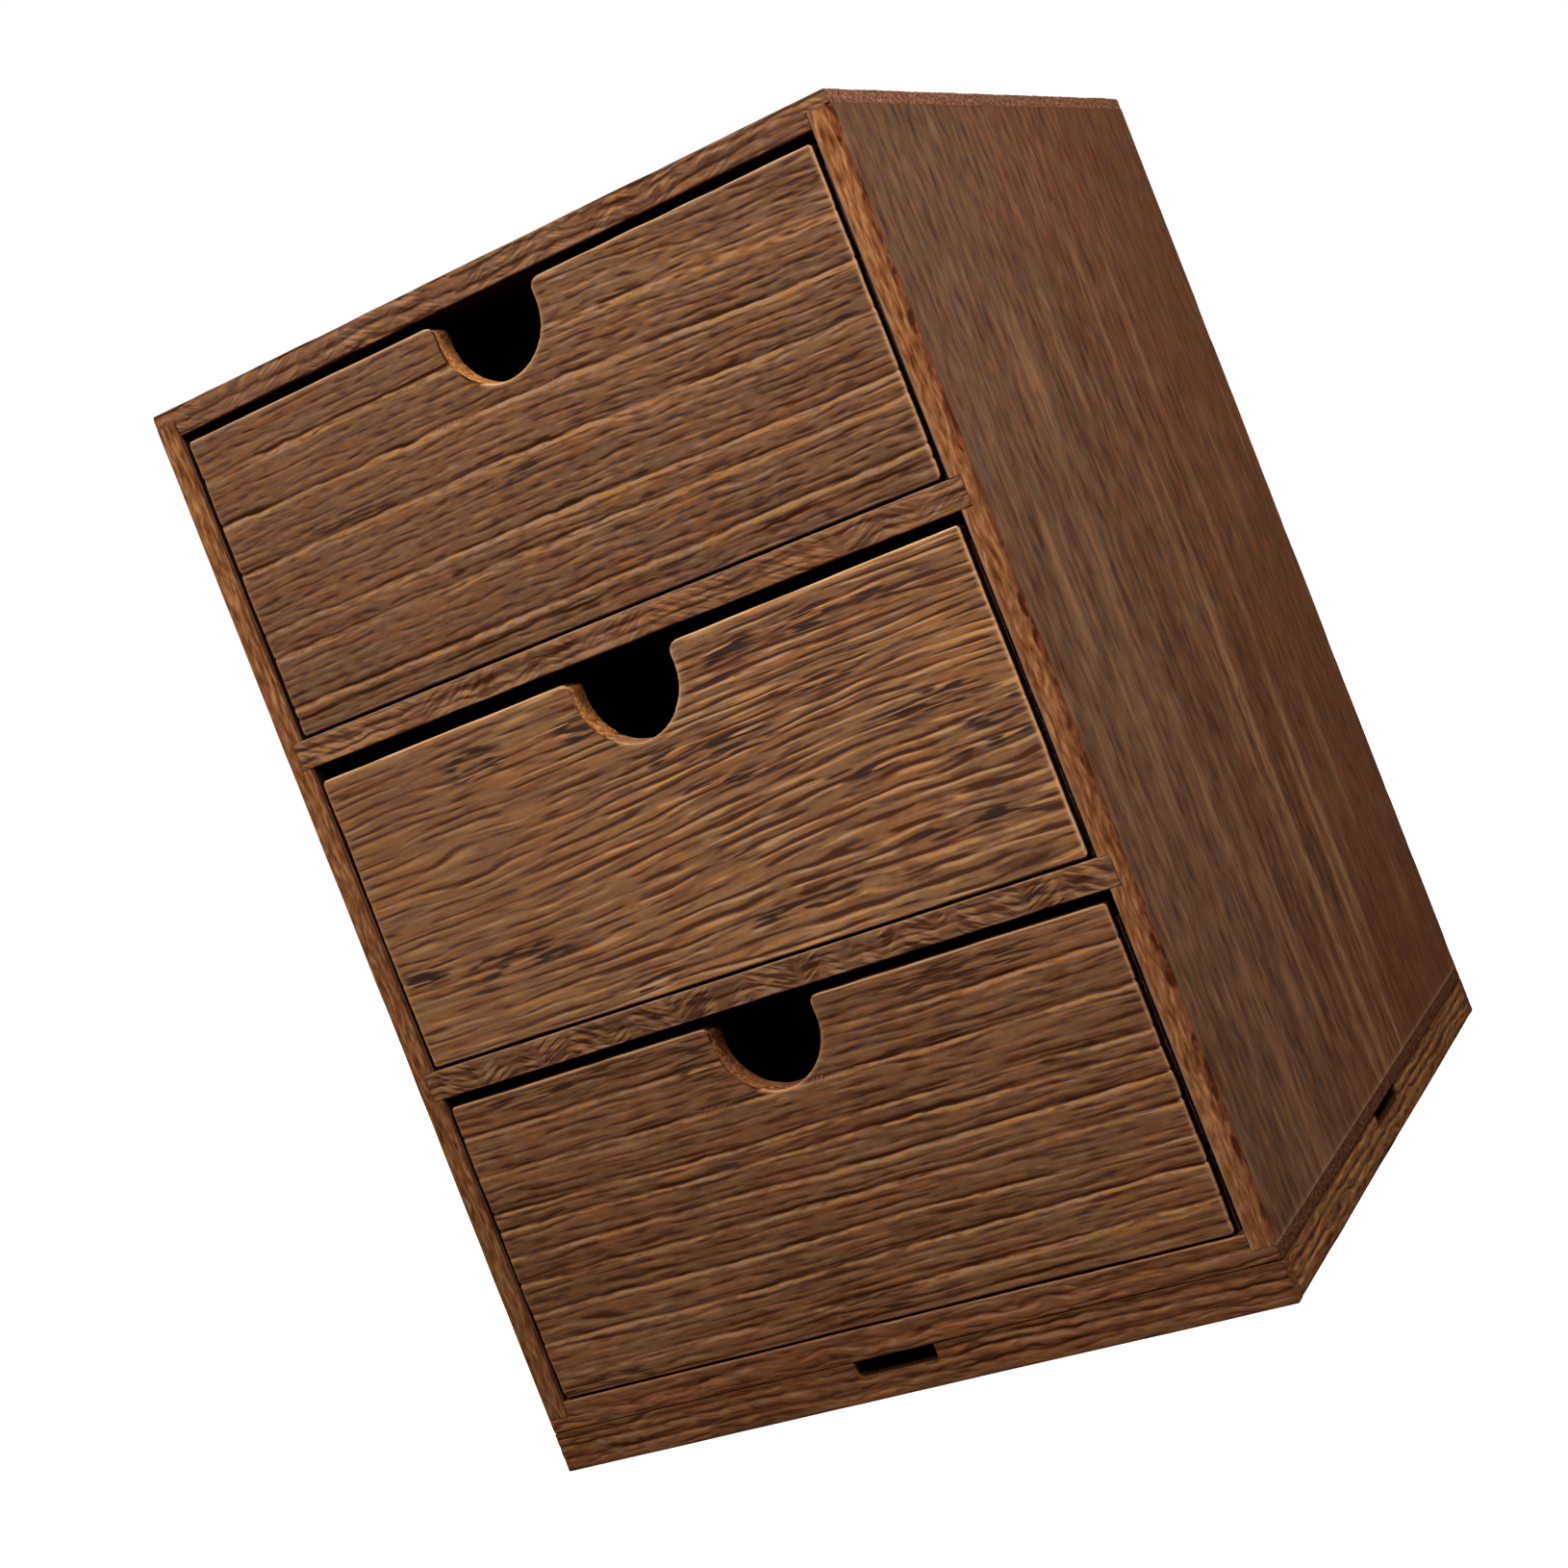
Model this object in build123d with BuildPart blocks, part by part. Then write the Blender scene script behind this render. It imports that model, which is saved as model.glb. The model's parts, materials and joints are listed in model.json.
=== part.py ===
from build123d import *
import os

os.makedirs("parts", exist_ok=True)

# A tabletop chest of three drawers on a low plinth, in wooden boards.
# Millimetres. The origin is the middle of the footprint, on the ground.
# X runs to the right, Y to the back and Z up. The drawers pull towards -Y.

# Outside of the chest
width = 175.0
depth = 190.0
height = 250.0

# Boards of the carcass
board = 6.5  # thickness of the top, the bottom and the two dividers
side_board = 5.5  # thickness of the two sides
lip = 3.0  # what the rabbets leave of the top and bottom boards at their ends
dado = 2.75  # depth of the housings in the sides that hold the dividers
back_board = 4.0  # thickness of the back panel
back_seat = 2.5  # how far the back panel reaches into each side
arris = 0.5  # radius that takes the sharpness off the outside edges

# Plinth under the bottom board
plinth_height = 9.0
rail = 6.0  # thickness of a rail
rail_lip = 3.0  # what the front and back rails keep in front of the side rails
vent_length = 19.0  # slot in the top edge of the front rail
side_vent_length = 21.0  # slot in the top edge of the side rails
vent_depth = 3.5
vent_corner = 1.0

# Drawers
front_board = 6.0  # thickness of a drawer front
front_lip = 3.0  # what the rabbets leave of a front where the drawer sides seat
drawer_side_board = 5.0
drawer_back_board = 5.0
drawer_back_seat = 2.5  # how far a drawer back reaches into each drawer side
floor_board = 3.0  # thickness of a drawer floor
floor_groove = 2.5  # depth of the groove that holds the floor
floor_lift = 3.5  # underside of the floor above the runner edge
groove_clearance = 0.3  # room for the floor at the bottom of its grooves
side_clearance = 1.0  # gap beside a drawer
foot_clearance = 0.5  # gap under a drawer front, which doesn't rub on its runner
stop_clearance = 0.3  # gap between a closed drawer and the back panel
side_headroom = 6.0  # space over the drawer sides and back
front_arris = 0.6
front_corner = 1.0  # radius of a front's four corners

# The drawers were fitted by hand, so each front has its own gap at its top left and
# top right corner and its own set-back from the front edges of the carcass. Each
# drawer also sits a little left of the middle, and one notch was cut off centre
left_gaps = {"lower": 2.3, "middle": 3.5, "upper": 1.9}
right_gaps = {"lower": 2.2, "middle": 2.2, "upper": 1.9}
set_backs = {"lower": 0.2, "middle": 0.5, "upper": 0.2}
side_shifts = {"lower": -0.6, "middle": -0.6, "upper": -0.2}
notch_shifts = {"lower": 0.0, "middle": -0.8, "upper": 0.0}
drawers = list(set_backs)

# Finger notch in the top edge of each front
notch_radius = 12.5
notch_depth = 17.0
notch_blend = 2.0

# Where the boards meet
left = -width / 2
right = width / 2
front = -depth / 2
rear = depth / 2
ground = 0.0
carcass_floor = plinth_height + board
ceiling = height - board
back_face = rear - back_board
inner_half = width / 2 - side_board
opening = (ceiling - carcass_floor - (len(drawers) - 1) * board) / len(drawers)
floors = {drawer: carcass_floor + i * (opening + board) for i, drawer in enumerate(drawers)}


def slab(x0, x1, y0, y1, z0, z1, mode=Mode.ADD):
    """Adds or cuts a board between two corners in the current part."""
    with BuildSketch(Plane.XY.offset(z0)) as footprint:
        with Locations(((x0 + x1) / 2, (y0 + y1) / 2)):
            Rectangle(x1 - x0, y1 - y0)
    extrude(footprint.sketch, amount=z1 - z0, mode=mode)


def corner_edges(shape):
    """The upright edges at the outside corners of a full-width board."""
    return shape.edges().filter_by(Axis.Z).filter_by(lambda edge: abs(edge.center().X) > inner_half)


def save(builder, name, shift=0.0):
    """Names a finished piece, moves it along X and writes it to its own file."""
    piece = builder.part.moved(Location((shift, 0, 0)))
    piece.label = name
    export_step(piece, f"parts/{name}.step")


# Top board, rabbeted on its underside at both ends and at the back
with BuildPart() as top_board:
    slab(left, right, front, rear, ceiling, height)
    for x0, x1 in ((left, -inner_half), (inner_half, right)):
        slab(x0, x1, front, rear, ceiling, height - lip, Mode.SUBTRACT)
    slab(-inner_half, inner_half, back_face, rear, ceiling, height - lip, Mode.SUBTRACT)
    fillet(corner_edges(top_board), arris)
    fillet(top_board.faces().sort_by(Axis.Z)[-1].edges(), arris)
save(top_board, "top_board")

# Bottom board, the same board the other way up
with BuildPart() as bottom_board:
    slab(left, right, front, rear, plinth_height, carcass_floor)
    for x0, x1 in ((left, -inner_half), (inner_half, right)):
        slab(x0, x1, front, rear, plinth_height + lip, carcass_floor, Mode.SUBTRACT)
    slab(-inner_half, inner_half, back_face, rear, plinth_height + lip, carcass_floor, Mode.SUBTRACT)
    fillet(corner_edges(bottom_board), arris)
save(bottom_board, "bottom_board")

# Sides, housed for the dividers and rabbeted for the back panel
for name, hand in (("left_side", -1), ("right_side", 1)):
    inner = hand * inner_half
    outer = hand * width / 2
    with BuildPart() as side_panel:
        slab(min(inner, outer), max(inner, outer), front, rear, plinth_height + lip, height - lip)
        housing = hand * (inner_half + dado)
        for drawer in drawers[1:]:
            top = floors[drawer]
            slab(min(inner, housing), max(inner, housing), front, back_face, top - board, top, Mode.SUBTRACT)
        rabbet = hand * (inner_half + back_seat)
        slab(min(inner, rabbet), max(inner, rabbet), back_face, rear, plinth_height + lip, height - lip, Mode.SUBTRACT)
        outer_face = side_panel.faces().sort_by(Axis.X)[0 if hand < 0 else -1]
        fillet(outer_face.edges().filter_by(Axis.Z), arris)
    save(side_panel, name)

# Dividers, which the drawers above them run on
for name, drawer in zip(("lower_divider", "upper_divider"), drawers[1:]):
    with BuildPart() as divider:
        reach = inner_half + dado
        slab(-reach, reach, front, back_face, floors[drawer] - board, floors[drawer])
    save(divider, name)

# Back panel, let into the rabbets on all four sides
with BuildPart() as back_panel:
    reach = inner_half + back_seat
    slab(-reach, reach, back_face, rear, plinth_height + lip, height - lip)
save(back_panel, "back_panel")


def vent(length, plane):
    """Cuts a slot with rounded lower corners from the top edge of the current rail."""
    with BuildSketch(plane) as opening_shape:
        with Locations((0, plinth_height - vent_depth / 2)):
            Rectangle(length, vent_depth)
        fillet(opening_shape.vertices().sort_by(Axis.Y)[:2], vent_corner)
    extrude(opening_shape.sketch, amount=rail, both=True, mode=Mode.SUBTRACT)


# Front and back rails, which lap over the ends of the side rails
for name, hand in (("plinth_front", -1), ("plinth_back", 1)):
    outer = hand * depth / 2
    lap = hand * (depth / 2 - rail_lip)
    inner = hand * (depth / 2 - rail)
    with BuildPart() as cross_rail:
        slab(left, right, min(inner, outer), max(inner, outer), ground, plinth_height)
        for x0, x1 in ((left, left + rail), (right - rail, right)):
            slab(x0, x1, min(inner, lap), max(inner, lap), ground, plinth_height, Mode.SUBTRACT)
        if hand < 0:
            vent(vent_length, Plane.XZ.offset(-outer))
        outer_face = cross_rail.faces().sort_by(Axis.Y)[0 if hand < 0 else -1]
        fillet(corner_edges(outer_face), arris)
    save(cross_rail, name)

# Side rails, between the laps
for name, hand in (("plinth_left", -1), ("plinth_right", 1)):
    outer = hand * width / 2
    inner = hand * (width / 2 - rail)
    with BuildPart() as side_rail:
        slab(min(inner, outer), max(inner, outer), front + rail_lip, rear - rail_lip, ground, plinth_height)
        vent(side_vent_length, Plane.YZ.offset(outer))
    save(side_rail, name)

# Sizes that all three drawers share
half = inner_half - side_clearance
inner_wall = half - drawer_side_board
drawer_rear = back_face - stop_clearance
groove_reach = inner_wall + floor_groove

for drawer in drawers:
    shift = side_shifts[drawer]
    base = floors[drawer]
    face = front + set_backs[drawer]
    behind = face + front_board
    seat = face + front_lip
    floor_z = base + floor_lift
    wall_top = base + opening - side_headroom
    back_inside = drawer_rear - drawer_back_board

    # Front, with its finger notch, side rabbets and floor groove
    with BuildPart() as drawer_front:
        with BuildSketch(Plane.XZ.offset(-face)) as outline:
            top_left = base + opening - left_gaps[drawer]
            top_right = base + opening - right_gaps[drawer]
            with BuildLine():
                Polyline(
                    (-half, base + foot_clearance),
                    (half, base + foot_clearance),
                    (half, top_right),
                    (-half, top_left),
                    close=True,
                )
            make_face()
            fillet(outline.vertices(), front_corner)
            notch_x = notch_shifts[drawer]
            notch_top = (top_left + top_right) / 2
            notch_centre = notch_top - notch_depth + notch_radius
            with Locations((notch_x, notch_centre)):
                Circle(notch_radius, mode=Mode.SUBTRACT)
                Rectangle(2 * notch_radius, 2 * notch_radius, align=(Align.CENTER, Align.MIN), mode=Mode.SUBTRACT)
            mouth = outline.vertices().filter_by(lambda v: abs(v.X - notch_x) < notch_radius + notch_blend)
            fillet(mouth.sort_by(Axis.Y)[-2:], notch_blend)
        extrude(amount=-front_board)
        for x0, x1 in ((-half, -inner_wall), (inner_wall, half)):
            slab(x0, x1, seat, behind, base, base + opening, Mode.SUBTRACT)
        slab(-groove_reach, groove_reach, behind - floor_groove, behind, floor_z, floor_z + floor_board, Mode.SUBTRACT)
        fillet(drawer_front.faces().sort_by(Axis.Y)[0].edges(), front_arris)
    save(drawer_front, f"{drawer}_drawer_front", shift)

    # Sides, which run on the board below
    for name, hand in (("left", -1), ("right", 1)):
        outer = hand * half
        inner = hand * inner_wall
        groove = hand * groove_reach
        rabbet = hand * (inner_wall + drawer_back_seat)
        with BuildPart() as drawer_side:
            slab(min(inner, outer), max(inner, outer), seat, drawer_rear, base, wall_top)
            slab(
                min(inner, groove), max(inner, groove), seat, drawer_rear,
                floor_z, floor_z + floor_board, Mode.SUBTRACT,
            )
            slab(min(inner, rabbet), max(inner, rabbet), back_inside, drawer_rear, base, wall_top, Mode.SUBTRACT)
        save(drawer_side, f"{drawer}_drawer_{name}", shift)

    # Back, in the rabbets at the ends of the sides
    with BuildPart() as drawer_back:
        reach = inner_wall + drawer_back_seat
        slab(-reach, reach, back_inside, drawer_rear, base + foot_clearance, wall_top)
        slab(-reach, reach, back_inside, back_inside + floor_groove, floor_z, floor_z + floor_board, Mode.SUBTRACT)
    save(drawer_back, f"{drawer}_drawer_back", shift)

    # Floor, held in the grooves on all four sides
    with BuildPart() as drawer_floor:
        reach = groove_reach - groove_clearance
        floor_front = behind - floor_groove + groove_clearance
        floor_rear = back_inside + floor_groove - groove_clearance
        slab(-reach, reach, floor_front, floor_rear, floor_z, floor_z + floor_board)
    save(drawer_floor, f"{drawer}_drawer_floor", shift)
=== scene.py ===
import json
import math
from itertools import combinations, product

import bpy
import numpy as np
from mathutils import Matrix, Vector

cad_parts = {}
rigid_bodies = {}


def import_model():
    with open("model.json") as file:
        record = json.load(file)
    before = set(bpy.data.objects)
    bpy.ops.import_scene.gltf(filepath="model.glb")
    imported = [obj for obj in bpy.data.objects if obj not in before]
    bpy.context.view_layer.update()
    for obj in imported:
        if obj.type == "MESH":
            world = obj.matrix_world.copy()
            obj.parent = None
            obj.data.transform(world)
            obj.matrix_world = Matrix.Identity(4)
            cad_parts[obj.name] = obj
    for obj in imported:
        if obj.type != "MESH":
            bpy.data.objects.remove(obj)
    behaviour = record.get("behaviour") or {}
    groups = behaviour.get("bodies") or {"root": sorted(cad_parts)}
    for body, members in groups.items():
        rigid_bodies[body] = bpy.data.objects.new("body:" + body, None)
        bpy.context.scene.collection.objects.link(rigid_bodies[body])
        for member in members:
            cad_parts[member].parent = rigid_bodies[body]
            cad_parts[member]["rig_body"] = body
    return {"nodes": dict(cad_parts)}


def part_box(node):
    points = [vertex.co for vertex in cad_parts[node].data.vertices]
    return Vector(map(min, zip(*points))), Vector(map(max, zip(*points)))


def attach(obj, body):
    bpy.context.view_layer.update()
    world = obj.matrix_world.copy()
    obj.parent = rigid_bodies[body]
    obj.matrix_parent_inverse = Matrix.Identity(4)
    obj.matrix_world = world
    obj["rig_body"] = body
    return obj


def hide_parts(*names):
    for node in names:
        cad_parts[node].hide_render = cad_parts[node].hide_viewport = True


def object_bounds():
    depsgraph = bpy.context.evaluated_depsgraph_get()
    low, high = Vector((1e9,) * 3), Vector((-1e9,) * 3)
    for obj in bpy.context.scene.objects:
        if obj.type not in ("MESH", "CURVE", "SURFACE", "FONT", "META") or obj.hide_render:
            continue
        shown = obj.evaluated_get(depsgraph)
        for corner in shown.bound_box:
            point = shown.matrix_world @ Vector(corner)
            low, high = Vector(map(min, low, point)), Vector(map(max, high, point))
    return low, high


# A small chest of three drawers in dark stained wood. Each board of the frame gets a finished
# board in its place: a closed mesh with eased edges and grain in relief, and a wood finish that
# follows the same grain. Board sizes are worked out in millimetres and written in metres.

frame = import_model()
cad_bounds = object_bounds()

MM = 0.001
X, Y, Z = 0, 1, 2

# Faces of a board
LEFT, RIGHT = (X, "low"), (X, "high")
FRONT, REAR = (Y, "low"), (Y, "high")
BOTTOM, TOP = (Z, "low"), (Z, "high")
NOTCH = ("notch", "wall")

# Finger notch in the drawer fronts and slots in the plinth, as in the frame
notch_radius = 12.5
notch_depth = 17.0
notch_blend = 2.0
notch_shifts = {"lower": 0.0, "middle": -0.8, "upper": 0.0}
notch_reach = 14.0  # the mesh is bent this far around a notch
vent_half = 9.5
side_vent_half = 10.5
vent_depth = 3.5
vent_corner = 1.0
vent_reach = 2.5  # the mesh is bent this far around a slot

# Edges
arris = 0.45  # radius of an eased edge
joint_arris = 0.16  # radius where two boards meet flush
divider_arris = 0.22
rail_arris = 0.25
front_corner = 1.0  # radius of a drawer front's outline at its corners
corner_zone = 2.5  # a front's top edge is read this close to its end
widest_bite = 2.8  # largest radius of an edge that is bitten away
crease = math.radians(50)  # faces that meet at a larger angle are shaded apart

# Mesh
edge_lines = (0.1, 0.25, 0.5, 0.9)  # extra mesh lines at these distances from an edge
bite_lines = (1.3, 1.8, 2.4)  # more of them beside an edge that is bitten away
least_step = 0.07  # a mesh line closer than this to the last one is left out
relief_reach = 1.2  # how far the relief of one face is felt by the faces beside it
end_relief = 0.5  # share of the relief on end grain

# How far the marks of edges and faces reach into the wood
wear_and_highlight_reach = 0.65  # light line along an edge, from wear and painted highlight
seam_reach = 0.4  # dark line along a joint
front_reach = 0.3  # crossed figure of a front edge
end_reach = 0.15  # end grain
painted_gap_shade_reach = 0.2  # painted shade on a face inside a gap
shown_fade = (0.3, 0.8)  # and where that painted shade begins, away from the faces that show
sawn_depth, sawn_reach = 0.3, 0.25  # rough sawn wood
bite_reach = 1.2  # torn wood of a bitten edge

# Lattice noise: odd factors that scramble a corner into random bits, and how far apart in cells the
# lattices of two seeds lie
lattice_factors = np.array((374761393, 668265263, 1442695041))
seed_factor = 974711
mixing_factor = 1274126177
seed_shift = 17.31

# Noise in the figures: its cells along the grain, across the face and in depth
long_waves, short_waves, ripples = (34, 9, 9), (8, 4, 4), (2.8, 3, 3)
ripple_share = 0.45  # strength of short waves and ripples beside that of the long waves
line_breaks = (15, 4, 30)
fine_fibres, coarse_fibres = (12, 1.0, 1.0), (24, 1.6, 1.6)
dash_patches, dashes_in_patch = (32, 9, 9), (7.5, 0.9, 0.9)
line_span = (-300, 360)  # growth lines are drawn at random between these heights

# Noise on the edges
wear_cells, bite_cells, wobble_cells = (9, 9, 9), (2.6, 2.6, 2.6), (7, 7, 7)
torn_cells = (3, 3, 1.6)


def smooth(t):
    """A share from 0 to 1, eased in and out."""
    return t * t * (3 - 2 * t)


def ramp(value, low, high):
    """0 below low, 1 above high and smooth between."""
    return smooth(np.clip((value - low) / (high - low), 0, 1))


def bell(value, middle, half):
    """1 where value is in the middle, fading to both sides over about half."""
    return np.exp(-(((value - middle) / half) ** 2))


def bulge(t):
    """Share of the radius that a round corner stays back from a square one, from 0 at t = 0."""
    return 1 - np.sqrt(1 - t * t / 2)


def pair(first, second):
    """The edge between two faces of a board."""
    return frozenset((first, second))


def noise(points, scale, seed):
    """Smooth random values from -1 to 1 at points, on a lattice whose cells have the given size."""
    place = points / np.asarray(scale, float) + seed_shift * seed
    cell = np.floor(place).astype(np.int64)
    part = smooth(place - cell)
    total = np.zeros(len(points))
    for corner in product((0, 1), repeat=3):
        mixed = (cell + corner) @ lattice_factors + seed * seed_factor
        mixed = (mixed ^ (mixed >> 13)) * mixing_factor
        mixed = mixed ^ (mixed >> 16)
        share = np.prod(np.where(corner, part, 1 - part), axis=1)
        total += (2 * (mixed & 0xFFFF) / 0xFFFF - 1) * share
    return total


class Figure:
    """How the grain of one board runs and how deep it is worn. Millimetres.

    A point is given as (along the grain, across the show face, in depth). lines are the heights of
    the growth lines, which are else drawn at random about pitch apart. bend is how far they stray
    from straight and tilt how they meet the face. line, fibre and dash are the depths of lines,
    fibres and torn dashes. A lower dash_cut gives more dashes, which gather in spots. Below each
    line lies a band of painted highlight, with its distance and half width. pale are light and dark
    stripes.
    """

    def __init__(self, seed, lines=None, pitch=9.0, bend=None, line=0.24, width=0.42, strength=1.0,
                 tilt=0.0, fibre=0.12, dash=0.1, dash_cut=0.45, wander=0.4, pale=(), spots=(),
                 band=(1.0, 0.7)):
        self.seed = seed
        self.line, self.width, self.strength = line, width, strength
        self.turn = math.radians(tilt)
        self.fibre, self.dash, self.dash_cut = fibre, dash, dash_cut
        self.wander, self.bend, self.pale, self.spots, self.band = wander, bend, pale, spots, band
        if lines is None:
            draw = np.random.default_rng(seed)
            lowest, highest = line_span
            steps = pitch * draw.uniform(0.55, 1.45, int((highest - lowest) / pitch) + 1)
            lines = lowest + np.cumsum(steps)
        self.lines = np.sort(np.asarray(lines, float))

    def read(self, points):
        """The bent grain coordinates, and the values of the grain's marks at each point."""
        seed = self.seed
        grain = points.copy()
        if self.bend is not None:
            grain[:, 1] += self.bend(points[:, 0], points[:, 1])
        grain[:, 1] += self.wander * noise(points, long_waves, seed + 1)
        grain[:, 1] += ripple_share * self.wander * noise(points, short_waves, seed + 2)
        rings = math.cos(self.turn) * grain[:, 1] + math.sin(self.turn) * grain[:, 2]
        rings += ripple_share * self.wander * noise(points, ripples, seed + 8)
        upper = np.clip(np.searchsorted(self.lines, rings), 1, len(self.lines) - 1)
        over = rings - self.lines[upper - 1]
        under = self.lines[upper] - rings
        presence = self.strength * np.clip(0.85 + 0.65 * noise(grain, line_breaks, seed + 3), 0.2, 1.2)
        fine, coarse = noise(grain, fine_fibres, seed + 4), noise(grain, coarse_fibres, seed + 5)
        marks = {
            "groove": bell(np.minimum(over, under), 0, self.width) * presence,
            # painted highlight in a band below each growth line
            "lip": bell(under, *self.band) * presence,
            "ring": self.strength * (np.exp(-np.abs(under) / 3.2) - 0.6 * np.exp(-np.abs(over) / 2.2)),
            "fibre": 0.5 * fine + 0.6 * coarse,
        }
        patch = ramp(noise(grain, dash_patches, seed + 6), -0.5, 0.35)
        if self.spots:
            patch *= 0.3
            for middle, height, half_length, half_height in self.spots:
                off = ((points[:, 0] - middle) / half_length) ** 2
                off += ((points[:, 1] - height) / half_height) ** 2
                patch = np.maximum(patch, 1.3 * np.exp(-off))
        patch = np.minimum(patch, 1)
        cut = self.dash_cut + 0.45 * (1 - patch)
        marks["patch"] = patch
        marks["dash"] = ramp(noise(grain, dashes_in_patch, seed + 7), cut, cut + 0.3) * patch
        if self.pale:
            marks["pale"] = sum(
                strength * bell(grain[:, 1], middle, half)
                * ramp(points[:, 0], low - 12, low + 8) * ramp(-points[:, 0], -high - 12, -high + 8)
                for middle, half, low, high, strength in self.pale)
        return grain, marks

    def depth(self, marks):
        """How far the surface lies below the flat face, never above it."""
        fibre = self.fibre * (0.5 - 0.5 * np.clip(marks["fibre"], -1, 1))
        return self.line * np.minimum(marks["groove"], 1) + self.dash * marks["dash"] + fibre


def mesh_lines(low, high, step, marks):
    """Places of the mesh lines from low to high: even steps between marks, closer beside edges."""
    stops = sorted({low, high, *(m for m in marks if low < m < high)})
    places = []
    for start, end in zip(stops, stops[1:]):
        count = max(1, round((end - start) / step))
        places.extend(np.linspace(start, end, count + 1))
    for off in edge_lines:
        places += [low + off, high - off]
    places = np.unique(np.round(places, 4))
    keep = [places[0]]
    firm = {round(s, 4) for s in stops}
    for place in places[1:]:
        if place - keep[-1] >= least_step:
            keep.append(place)
        elif place in firm:
            keep[-1] = place
    return np.array(keep)


def shell(lines, cutters):
    """Corner points and outward quads of a box on mesh lines, less the boxes in cutters."""
    middles = [(line[1:] + line[:-1]) / 2 for line in lines]
    grid = np.meshgrid(*middles, indexing="ij")
    solid = np.ones(grid[0].shape, bool)
    for low, high in cutters:
        inside = np.ones_like(solid)
        for axis in (X, Y, Z):
            inside &= (grid[axis] > low[axis]) & (grid[axis] < high[axis])
        solid &= ~inside
    padded = np.pad(solid, 1).astype(np.int8)
    counts = [len(line) for line in lines]
    quads = []
    for axis in (X, Y, Z):
        second, third = (axis + 1) % 3, (axis + 2) % 3
        change = np.diff(padded, axis=axis)
        for sign in (1, -1):
            at = np.argwhere(change == sign)
            at[:, second] -= 1
            at[:, third] -= 1
            around = ((0, 0), (1, 0), (1, 1), (0, 1)) if sign < 0 else ((0, 0), (0, 1), (1, 1), (1, 0))
            corners = []
            for one, two in around:
                corner = at.copy()
                corner[:, second] += one
                corner[:, third] += two
                corners.append((corner[:, 0] * counts[1] + corner[:, 1]) * counts[2] + corner[:, 2])
            quads.append(np.stack(corners, axis=1))
    used, quads = np.unique(np.concatenate(quads), return_inverse=True)
    quads = quads.reshape(-1, 4)
    i, rest = np.divmod(used, counts[1] * counts[2])
    j, k = np.divmod(rest, counts[2])
    points = np.stack([lines[0][i], lines[1][j], lines[2][k]], axis=1)
    return points, quads


class Notch:
    """A notch cut down from the top of a board: its middle, half width, floor and corner radius."""

    def __init__(self, across, through, middle, half, floor, corner, reach):
        self.across, self.through, self.middle = across, through, middle
        self.half, self.floor, self.corner, self.reach = half, floor, corner, reach

    def cutter(self, low, high):
        """The box that a square notch takes out of the board from low to high."""
        box_low, box_high = list(low), list(high)
        box_low[self.across], box_high[self.across] = self.middle - self.half, self.middle + self.half
        box_low[self.through] -= 1
        box_high[self.through] += 1
        box_low[Z] = self.floor
        box_high[Z] += 1
        return box_low, box_high

    def warp(self, points):
        """Bends the square notch of the mesh into the round one, with the mesh around it."""
        side, height = points[:, self.across] - self.middle, points[:, Z]
        near_side = np.clip(side, -self.half, self.half)
        near_height = np.maximum(height, self.floor)
        away = np.hypot(side - near_side, height - near_height)
        centre_side = self.half - self.corner
        centre_height = self.floor + self.corner
        u = np.clip((np.abs(near_side) - centre_side) / self.corner, 0, 1)
        v = np.clip((centre_height - near_height) / self.corner, 0, 1)
        fade = smooth(np.clip(1 - away / self.reach, 0, 1))
        points[:, self.across] -= np.sign(near_side) * self.corner * u * bulge(v) * fade
        points[:, Z] += self.corner * v * bulge(u) * fade

    def wall(self, points):
        """Distance from the notch's wall into the wood, and the wall's outward direction."""
        side, height = points[:, self.across] - self.middle, points[:, Z]
        out_side = np.sign(side) * np.maximum(np.abs(side) - (self.half - self.corner), 0)
        out_height = np.minimum(height - (self.floor + self.corner), 0)
        reach = np.maximum(np.hypot(out_side, out_height), 1e-9)
        normal = np.zeros_like(points)
        normal[:, self.across] = -out_side / reach
        normal[:, Z] = -out_height / reach
        return np.maximum(reach - self.corner, 0), normal


def plane_walls(points, low, high):
    """The six faces of a board: distance into the wood and outward direction at every point."""
    walls = {}
    for axis in (X, Y, Z):
        for name, hand, end in (("low", -1, low), ("high", 1, high)):
            normal = np.zeros_like(points)
            normal[:, axis] = hand
            walls[axis, name] = (np.maximum(hand * (end[axis] - points[:, axis]), 0), normal)
    return walls


def edges_of(walls):
    """Pairs of faces that can meet in an edge."""
    return [(first, second) for first, second in combinations(walls, 2) if first[0] != second[0]]


def ease(points, walls, radius_of):
    """How points near two faces move so that the edge between them is round."""
    move = np.zeros_like(points)
    for first, second in edges_of(walls):
        radius = radius_of(first, second)
        u = np.clip(1 - walls[first][0] / radius, 0, 1)
        v = np.clip(1 - walls[second][0] / radius, 0, 1)
        pull_first = radius * u * bulge(v)
        pull_second = radius * v * bulge(u)
        move -= walls[first][1] * pull_first[:, None] + walls[second][1] * pull_second[:, None]
    return move


def box_of(node):
    """A node's lowest and highest corner in millimetres."""
    low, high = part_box(node)
    return [c / MM for c in low], [c / MM for c in high]


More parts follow.
